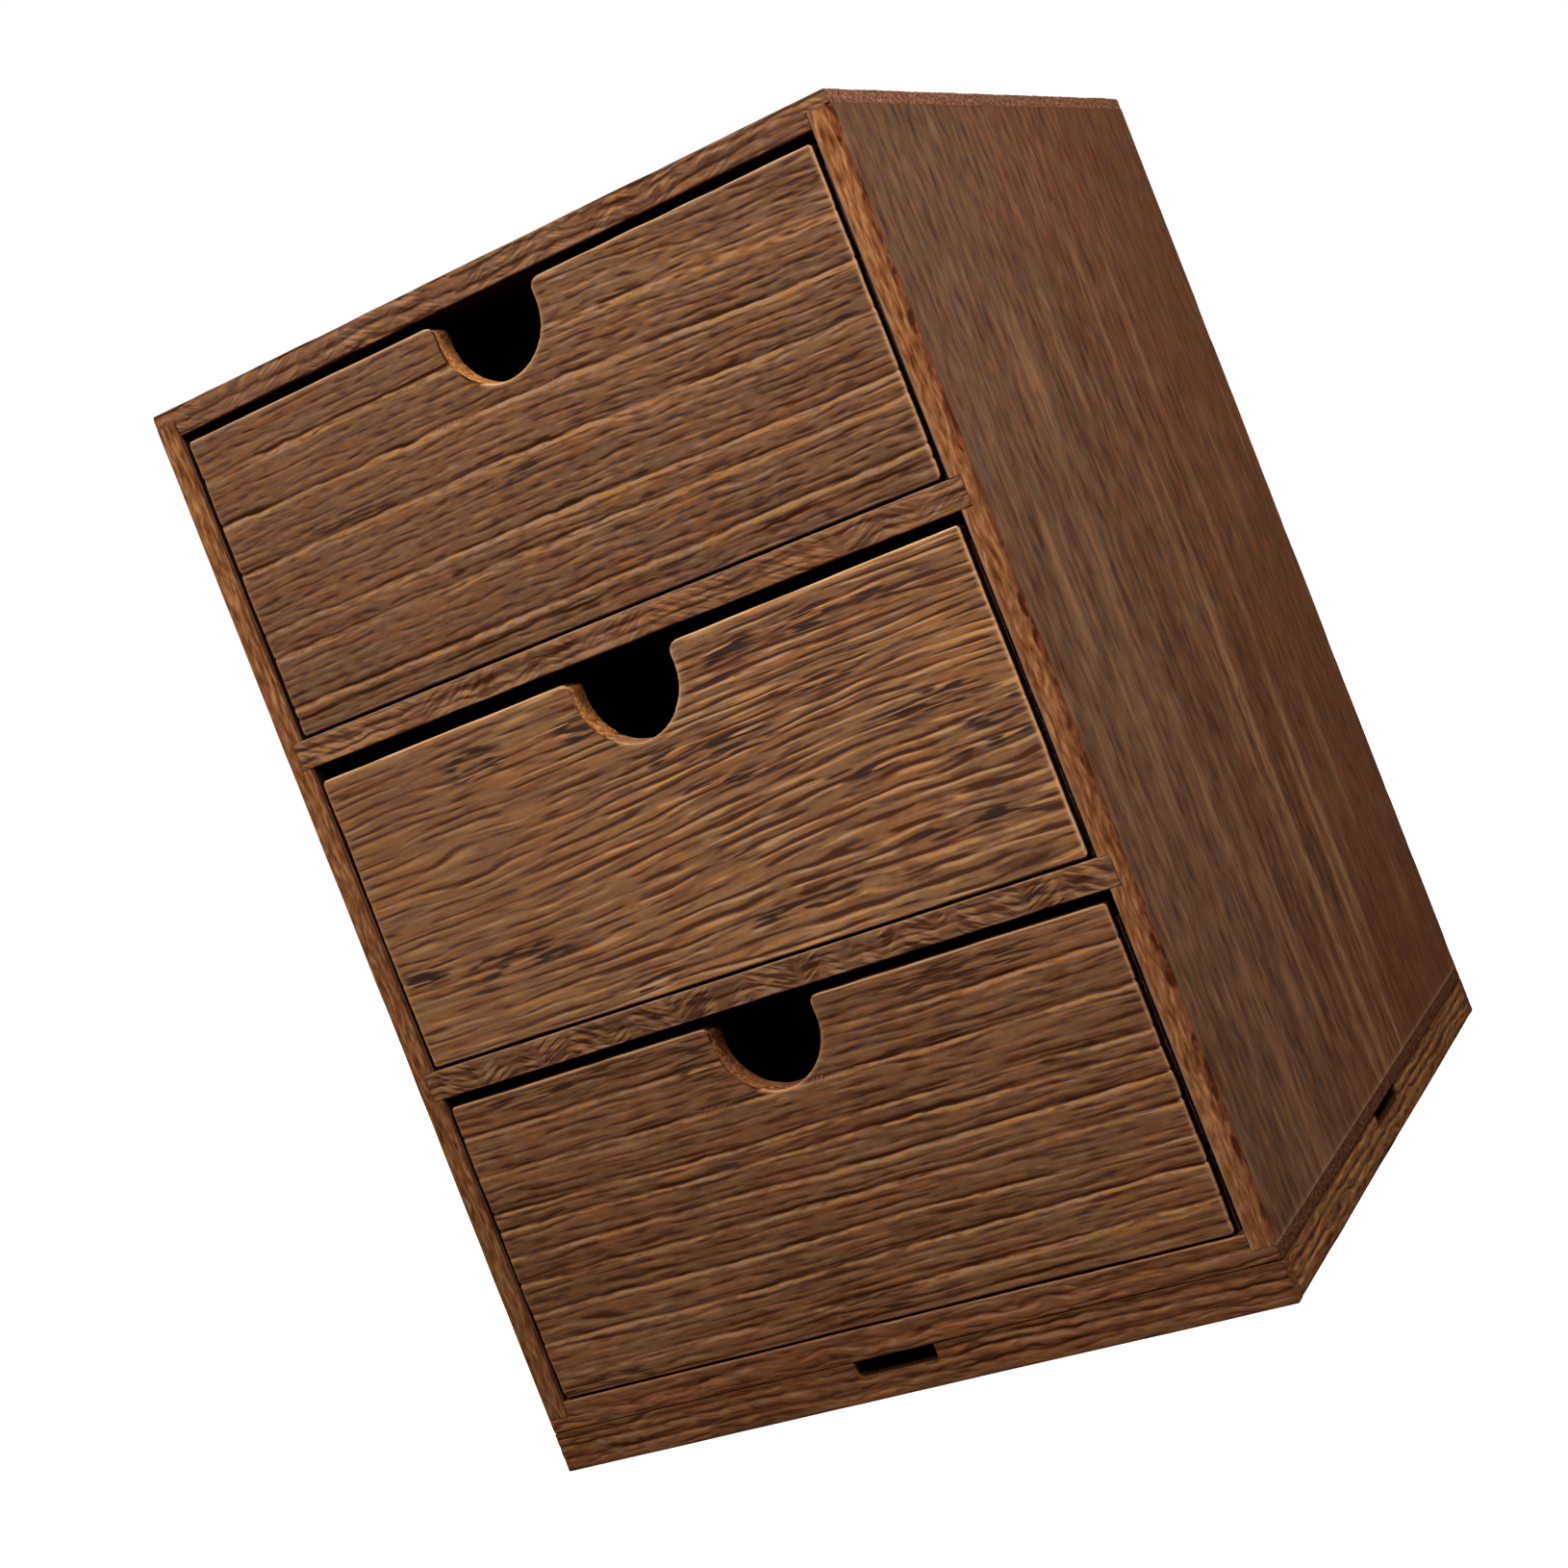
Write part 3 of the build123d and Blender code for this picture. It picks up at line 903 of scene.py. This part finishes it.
# Dark flecks gather in these places of the fronts: middle, height, half length and half height
upper_spots = ((76, 212.5, 7, 3), (76, 235, 6, 3), (-5, 206, 9, 2), (-48, 212, 12, 2))
middle_spots = (
    (24, 156.5, 8, 3), (42.5, 157, 9, 3), (62, 156.5, 9, 3.2), (18.5, 151, 6, 2), (39.5, 144.5, 13, 2),
    (16.5, 139, 12, 3), (-1.5, 141, 12, 2.5), (62.5, 133, 13, 2.8), (10, 131.8, 16, 2), (73.5, 127, 9, 2.6),
    (42, 124.8, 10, 1.8), (69, 121.8, 13, 2), (-15, 153.5, 7, 4), (-43, 153.5, 8, 4), (-74.5, 114.5, 8, 3),
    (-21.5, 97.5, 10, 2), (-51, 111, 18, 3), (20, 103, 20, 2), (60, 108, 15, 2))
lower_spots = ((-50, 83, 26, 3), (-18, 79, 6, 6), (-1.5, 19.5, 17, 3), (-70, 17.5, 15, 2.4), (45, 81, 20, 3))

front_figures = {
    "upper": Figure(
        3, lines=upper_lines, bend=upper_bend, line=0.18, width=0.36, wander=0.5, dash_cut=0.3,
        spots=upper_spots, band=(0.95, 0.55)),
    "middle": Figure(
        7, pitch=6.0, bend=middle_bend, line=0.08, width=0.34, strength=0.2, dash=0.08,
        dash_cut=0.1, wander=0.5, spots=middle_spots),
    "lower": Figure(
        11, lines=lower_lines, bend=lower_bend, line=0.16, width=0.36, wander=0.45, dash_cut=0.25,
        spots=lower_spots, band=(0.85, 0.45)),
}

# Paler and, with a negative strength, darker stripes down the sides: place from front to back, half
# width, lowest and highest end, strength
side_stripes = (
    (1, 1.5, 10, 116, 0.9), (10, 2.2, 8, 130, 1.2), (13, 1.0, 125, 214, 0.8), (19, 1.2, 10, 42, 0.8),
    (26.5, 1.6, 10, 87, 1.0), (33.5, 1.5, 166, 207, 0.8), (33.5, 2.2, 42, 100, 1.2), (36, 1.8, 115, 160, 0.7),
    (-38, 2.5, 75, 115, 0.8), (-70, 2.2, 130, 157, 1.1), (-62, 1.0, 115, 145, 0.7), (-19, 2.0, 173, 207, 0.8),
    (-41.5, 3.0, 176, 193, 1.0), (-32, 3.0, 35, 50, 0.8), (-54.5, 1.2, 8, 52, 0.7), (57, 2.5, 65, 97, 0.7),
    (63, 2.5, 137, 168, 0.6), (74, 3.0, 34, 44, 0.7), (21.7, 1.8, 42, 130, -0.8), (5.5, 1.2, 8, 120, -0.6),
    (-16.5, 2.5, 102, 170, -0.6), (43, 5.0, 8, 35, -0.5), (-31, 1.6, 170, 207, -0.5), (-82, 3.0, 8, 60, -0.5))
streak_count = 90


def streaks(seed):
    """Thin light and dark streaks between the stripes, most of them in the front half."""
    draw = np.random.default_rng(seed)
    drawn = []
    for number in range(streak_count):
        foot = draw.uniform(-20, 190)
        strength = draw.uniform(0.3, 0.7) * (-1 if number % 2 else 1)
        place, half = draw.normal(-25, 38), draw.uniform(0.8, 2.2)
        drawn.append((place, half, foot, foot + draw.uniform(4, 40), strength))
    return tuple(drawn)


def top_of(node, hand):
    """Height of a drawer front's top edge near its left or right end, from the frame's own mesh."""
    low, high = box_of(node)
    end = low[X] if hand < 0 else high[X]
    corners = frame["nodes"][node].data.vertices
    return max(v.co.z / MM for v in corners if abs(v.co.x / MM - end) < corner_zone)


def drawer_boards(woods):
    """The five boards of each drawer."""
    # Light lines along the fronts' edges, strongest on the top edge: wear and painted highlight
    rims = {pair(FRONT, TOP): 1.0, pair(FRONT, LEFT): 0.6, pair(FRONT, RIGHT): 0.8, pair(FRONT, BOTTOM): 0.3}
    outline = {pair(side, end): front_corner for side in (LEFT, RIGHT) for end in (BOTTOM, TOP)}
    outline[pair(TOP, NOTCH)] = notch_blend
    slot, inside = "drawer_boards", woods["inside"]
    for seed, drawer in ((110, "upper"), (160, "middle"), (210, "lower")):
        front, left, right, back, floor = (
            f"{drawer}_drawer_{part}" for part in ("front", "left", "right", "back", "floor"))
        low, high = box_of(front)
        left_top, right_top = (top_of(front, hand) for hand in (-1, 1))

        def slope(x, left_top=left_top, right_top=right_top, low=low, high=high):
            return high[Z] - left_top - (right_top - left_top) * (x - low[X]) / (high[X] - low[X])

        middle = (low[X] + high[X]) / 2 + notch_shifts[drawer]
        notch_floor = (left_top + right_top) / 2 - notch_depth
        yield Board(
            front, "drawer_fronts", X, Y, (1.2, 2.0, 0.33), front_figures[drawer],
            woods[drawer + "_front"], seated=(left, right, floor),
            notch=Notch(X, Y, middle, notch_radius, notch_floor, notch_radius, notch_reach),
            radius=arris, radii=outline, wobble={LEFT: 0.5, RIGHT: 0.4, TOP: 0.15},
            hidden=(LEFT, RIGHT, BOTTOM, TOP), slope=slope, rims=rims, seam=0.0)
        for number, node in enumerate((left, right)):
            figure = Figure(seed + number, line=0.1, fibre=0.06)
            yield Board(node, slot, Y, X, (2.0, 2.5, 1.0), figure, inside, seated=(back, floor), relief=0.8)
        figure = Figure(seed + 2, line=0.1, fibre=0.06)
        yield Board(back, slot, X, Y, (2.5, 2.0, 1.0), figure, inside, seated=(floor,), relief=0.8)
        figure = Figure(seed + 3, line=0.08, fibre=0.05)
        yield Board(floor, slot, X, Z, (2.5, 1.1, 1.5), figure, inside, relief=0.8)


def carcass_boards(woods):
    """Top, bottom, sides, dividers and back."""
    outer_edges = [pair(*faces) for faces in edges_of((LEFT, RIGHT, FRONT, REAR, BOTTOM, TOP))]
    upright = {edge: arris for edge in outer_edges if not edge & {BOTTOM, TOP}}
    crown = {edge: arris for edge in outer_edges if BOTTOM not in edge}
    yield Board(
        "top_board", "carcass_boards", X, Z, (1.5, 0.8, 0.3),
        Figure(31, pitch=2.6, bend=top_bend, line=0.1, width=0.34, strength=0.7, tilt=55, dash_cut=0.4,
               wander=1.3),
        woods["board"], seated=("left_side", "right_side", "back_panel"), radii=crown,
        hidden=(BOTTOM,), wobble={TOP: 0.12, RIGHT: 0.1, LEFT: 0.1})
    yield Board(
        "bottom_board", "carcass_boards", X, Z, (1.3, 2.2, 0.3),
        Figure(37, pitch=2.3, line=0.1, width=0.3, strength=0.5, tilt=50, dash_cut=0.4, wander=1.0),
        woods["base"], seated=("left_side", "right_side", "back_panel"), radii=upright,
        rims={pair(FRONT, TOP): 0.6})
    for seed, name, hand in ((41, "left_side", -1), (43, "right_side", 1)):
        low, high = box_of(name)
        # The left side's inner front edge gets a dark line of painted shade beside the gaps, the right side's
        # a light line of wear and painted highlight, and the outer foot edge a light line of wear and painted
        # highlight
        if hand < 0:
            outer, inner, inner_rim, ragged = LEFT, RIGHT, -1.0, {}
            bitten = [low[X] + off for off in bite_lines]
        else:
            outer, inner, inner_rim = RIGHT, LEFT, 0.9
            ragged = {pair(RIGHT, FRONT): 0.8, pair(RIGHT, REAR): 0.4}
            bitten = [high[X] - off for off in bite_lines]
        yield Board(
            name, "carcass_sides", Z, X, (0.5, 0.72, 1.85),
            Figure(seed, pitch=17, strength=0.12, line=0.05, fibre=0.04, dash=0.06,
                   pale=side_stripes + streaks(seed)),
            woods[name], seated=("lower_divider", "upper_divider", "back_panel"), radii=upright,
            ragged=ragged, hidden=(inner,), sawn=(FRONT,),
            marks={X: bitten, Y: [low[Y] + off for off in bite_lines]},
            rims={pair(inner, FRONT): inner_rim, pair(outer, FRONT): 0.0, pair(outer, BOTTOM): 0.8})
    for seed, name in ((47, "lower_divider"), (53, "upper_divider")):
        yield Board(
            name, "dividers", X, Z, (0.9, 3.0, 0.3),
            Figure(seed, pitch=2.4, line=0.1, width=0.3, strength=0.5, tilt=60, dash_cut=0.34, wander=1.3),
            woods[name], hidden=(BOTTOM, TOP), radius=divider_arris,
            rims={pair(FRONT, TOP): 0.7, pair(FRONT, BOTTOM): 0.0})
    yield Board(
        "back_panel", "back_panel", Z, Y, (0.9, 1.0, 2.2), Figure(59, pitch=11, line=0.12, fibre=0.07),
        woods["back"])


def plinth_boards(woods):
    """The four rails under the bottom board."""
    floor = box_of("plinth_front")[1][Z] - vent_depth
    front_vent = Notch(X, Y, 0.0, vent_half, floor, vent_corner, vent_reach)
    side_vent = Notch(Y, X, 0.0, side_vent_half, floor, vent_corner, vent_reach)
    rails = ((61, "plinth_front", front_vent, (NOTCH,)), (67, "plinth_back", None, ()))
    for seed, name, notch, hidden in rails:
        figure = Figure(seed, pitch=3.4, line=0.1, strength=0.7, dash_cut=0.4, wander=0.6)
        yield Board(
            name, "plinth", X, Y, (0.9, 1.2, 0.3), figure, woods["plinth"],
            seated=("plinth_left", "plinth_right"), notch=notch, radius=rail_arris, hidden=hidden)
    for seed, name in ((71, "plinth_left"), (73, "plinth_right")):
        figure = Figure(seed, pitch=3.4, line=0.08, strength=0.6, dash_cut=0.4)
        yield Board(
            name, "plinth", Y, X, (1.2, 0.9, 0.3), figure, woods["plinth_side"], notch=side_vent,
            radius=rail_arris, hidden=(NOTCH,))


# Studio, in metres
floor_half = 6.0
floor_gap = 0.05 * MM  # between the chest and the floor
shaded_inset = 2 * MM  # the floor keeps its darker grey, painted shade, this far inside the chest's outline
shaded_grey, direct_grey, floor_grey = (0.3, 0.3, 0.3, 1), (0.1, 0.1, 0.1, 1), (0.8, 0.8, 0.8, 1)
floor_roughness = 0.9
glow_start, glow_end = 0.25, 1.2  # how far from the middle the floor begins and ends to grow paler
near_glow, far_glow = 0.8, 0.97
background_light, background_shown = 0.06, 1.0


def seen_directly(tree):
    """1 where the camera looks straight, in a mirror or through glass, and 0 for light on objects."""
    path = tree.node("LightPath").outputs
    total = path["Is Camera Ray"]
    for name in ("Is Glossy Ray", "Is Transmission Ray"):
        total = tree.maths("MAXIMUM", total, path[name])
    return total


def pale_finish():
    """A floor that glows where the camera sees it, a little more far away."""
    pale = Tree(bpy.data.materials.new("pale_floor"))
    direct = seen_directly(pale)
    shader = pale.shader.inputs
    pale.put(shader["Base Color"], pale.mix(direct, direct_grey, floor_grey))
    pale.put(shader["Roughness"], floor_roughness)
    pale.put(shader["Specular IOR Level"], 0.0)
    place = pale.node("TexCoord").outputs["Object"]
    away = pale.node("VectorMath", {0: place}, operation="LENGTH").outputs["Value"]
    strength = pale.times(direct, pale.spread(away, glow_start, glow_end, near_glow, far_glow))
    glow = pale.node("Emission", {"Strength": strength})
    both = pale.node("AddShader", {0: pale.shader.outputs["BSDF"], 1: glow.outputs["Emission"]})
    pale.put(pale.nodes["Material Output"].inputs["Surface"], both.outputs["Shader"])
    return pale.owner


def studio():
    """Pale floor, painted darker under the chest as shade, and white background."""
    low, high = cad_bounds
    xs = (-floor_half, low.x + shaded_inset, high.x - shaded_inset, floor_half)
    ys = (-floor_half, low.y + shaded_inset, high.y - shaded_inset, floor_half)
    corners = [(x, y, low.z - floor_gap) for y in ys for x in xs]
    cells = [(i, j) for j in range(3) for i in range(3)]
    faces = [(4 * j + i, 4 * j + i + 1, 4 * j + i + 5, 4 * j + i + 4) for i, j in cells]
    mesh = bpy.data.meshes.new("floor")
    mesh.from_pydata(corners, [], faces)
    # Painted shade: the floor under the chest is a darker grey
    shaded = Tree(bpy.data.materials.new("floor_under_the_chest"))
    shaded.put(shaded.shader.inputs["Base Color"], shaded_grey)
    shaded.put(shaded.shader.inputs["Roughness"], floor_roughness)
    mesh.materials.append(pale_finish())
    mesh.materials.append(shaded.owner)
    mesh.polygons[cells.index((1, 1))].material_index = 1
    floor = bpy.data.objects.new("floor", mesh)
    bpy.context.scene.collection.objects.link(floor)

    world = Tree(bpy.data.worlds.new("studio"))
    bpy.context.scene.world = world.owner
    background = world.nodes["Background"].inputs
    strength = world.spread(seen_directly(world), 0.0, 1.0, background_light, background_shown)
    world.put(background["Color"], (1, 1, 1, 1))
    world.put(background["Strength"], strength)


def softbox(name, place, target, size, power):
    """A square area light that points at target and isn't seen itself."""
    data = bpy.data.lights.new(name, "AREA")
    data.size = size
    data.energy = power
    lamp = bpy.data.objects.new(name, data)
    lamp.location = place
    lamp.rotation_mode = "QUATERNION"
    lamp.rotation_quaternion = (Vector(target) - Vector(place)).to_track_quat("-Z", "Y")
    lamp.visible_camera = False
    bpy.context.scene.collection.objects.link(lamp)


def photo_camera():
    """The photograph's viewpoint: level with the chest, from its right, with the picture turned."""
    yaw, pitch, roll = 0.4579, 0.0133, -0.3746
    pose = Matrix.Translation((0.2710, -0.5708, 0.1609))
    for angle, axis in ((yaw, "Z"), (math.pi / 2 - pitch, "X"), (roll, "Z")):
        pose = pose @ Matrix.Rotation(angle, 4, axis)
    data = bpy.data.cameras.new("camera")
    data.sensor_width = 36.0
    data.lens = 61.07
    data.shift_y = -0.09
    camera = bpy.data.objects.new("camera", data)
    camera.matrix_world = pose
    bpy.context.scene.collection.objects.link(camera)
    bpy.context.scene.camera = camera


def main():
    """Boards, floor, light and camera."""
    woods = {name: stained_wood(name + "_wood", **settings) for name, settings in wood_settings.items()}
    for board in (*carcass_boards(woods), *plinth_boards(woods), *drawer_boards(woods)):
        board.build()
    studio()
    softbox("key", place=(0.10, -0.62, 0.70), target=(0, -0.1, 0.17), size=0.22, power=4.6)
    softbox("right", place=(0.45, -0.20, 0.62), target=(0.09, 0, 0.16), size=0.22, power=4.8)
    softbox("left", place=(-0.9, -0.5, 0.5), target=(0, 0, 0.12), size=0.4, power=1.2)
    softbox("rear", place=(-0.7, 0.9, 0.55), target=(0, 0, 0.13), size=0.5, power=9.0)
    photo_camera()
    bpy.context.scene.view_settings.view_transform = "Standard"


main()
